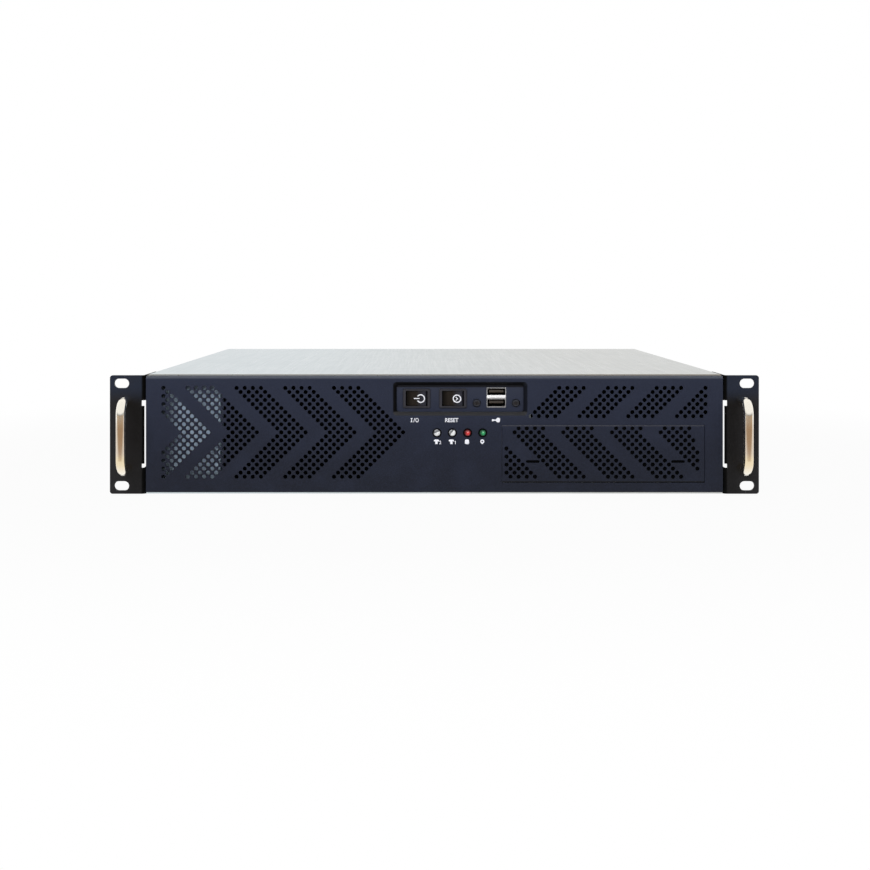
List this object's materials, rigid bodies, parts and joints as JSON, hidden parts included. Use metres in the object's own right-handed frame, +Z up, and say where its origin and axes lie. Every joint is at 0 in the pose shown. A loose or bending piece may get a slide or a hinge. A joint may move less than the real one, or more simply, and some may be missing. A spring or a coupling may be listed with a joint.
{
  "type": "empty rackmount server case",
  "caption": "Low sheet-steel rackmount server case with perforated front panel, bow handles, rocker switches, drive bay cover, fans and lift-off lid, without electronics.",
  "frame": {"origin": "middle of the outline seen from above, at the underside of the case", "axes": "+X to the right seen from the front, -Y towards the front with the handles, +Z up"},
  "size_m": [0.4826, 0.413, 0.0886],
  "materials": {
    "zinc_sheet": "zinc-plated sheet steel",
    "powder_coat": "fine-textured blue-black powder coat",
    "chrome_bar": "polished chrome",
    "black_screws": "black oxide",
    "zinc_screws": "bright zinc",
    "switch_plastic": "satin moulded black plastic",
    "socket_steel": "nickel-plated steel",
    "tongue_plastic": "moulded black plastic",
    "circuit_board": "green solder mask",
    "nylon": "natural nylon",
    "clear_lens": "clear moulded epoxy",
    "red_lens": "red moulded epoxy",
    "green_lens": "green moulded epoxy",
    "fan_plastic": "black moulded plastic",
    "brass_posts": "plain turned brass"
  },
  "bodies": {
    "case": {"bay_cage": "zinc_sheet", "board_standoffs": "brass_posts", "chassis_tray": "zinc_sheet", "control_plate": "powder_coat", "disk_cage": "zinc_sheet", "disk_lamp": "red_lens", "ear_screws": "zinc_screws", "fan_bracket": "zinc_sheet", "fan_screws": "zinc_screws", "front_panel": "powder_coat", "handle_screws": "zinc_screws", "lamp_board": "circuit_board", "lamp_board_posts": "nylon", "left_ear": "powder_coat", "left_fan_frame": "fan_plastic", "left_handle": "chrome_bar", "lid_thumbscrews": "zinc_screws", "network_lamp_1": "clear_lens", "network_lamp_2": "clear_lens", "power_lamp": "green_lens", "power_switch_body": "switch_plastic", "rear_panel": "zinc_sheet", "reset_switch_body": "switch_plastic", "right_ear": "powder_coat", "right_fan_frame": "fan_plastic", "right_handle": "chrome_bar", "slot_cover_1": "zinc_sheet", "slot_cover_2": "zinc_sheet", "slot_cover_3": "zinc_sheet", "slot_cover_4": "zinc_sheet", "slot_cover_screws": "zinc_screws", "usb_board": "circuit_board", "usb_bracket": "zinc_sheet", "usb_screws": "black_screws", "usb_shell": "socket_steel", "usb_tongues": "tongue_plastic"},
    "lid": {"lid": "zinc_sheet"},
    "bay_cover": {"bay_cover": "powder_coat"},
    "power_rocker": {"power_rocker": "switch_plastic"},
    "reset_rocker": {"reset_rocker": "switch_plastic"},
    "left_fan_rotor": {"left_fan_rotor": "fan_plastic"},
    "right_fan_rotor": {"right_fan_rotor": "fan_plastic"}
  },
  "joints": [
    {"name": "lid_lift", "type": "slide", "parent": "case", "child": "lid", "axis": [0, 0, 1], "range_m": [0, 0.12]},
    {"name": "bay_cover_pull", "type": "slide", "parent": "case", "child": "bay_cover", "axis": [0, -1, 0], "range_m": [0, 0.06]},
    {"name": "power_rock", "type": "hinge", "parent": "case", "child": "power_rocker", "pos_m": [-0.01325, -0.1741, 0.0705], "axis": [0, 0, 1], "range_deg": [0, 14]},
    {"name": "reset_rock", "type": "hinge", "parent": "case", "child": "reset_rocker", "pos_m": [0.0139, -0.1741, 0.0705], "axis": [0, 0, 1], "range_deg": [0, 14], "stiffness_Nm_per_rad": 0.05},
    {"name": "left_fan_spin", "type": "hinge", "parent": "case", "child": "left_fan_rotor", "pos_m": [-0.1213, -0.1415, 0.0434], "axis": [0, 1, 0], "continuous": true},
    {"name": "right_fan_spin", "type": "hinge", "parent": "case", "child": "right_fan_rotor", "pos_m": [-0.0407, -0.1415, 0.0434], "axis": [0, 1, 0], "continuous": true}
  ]
}
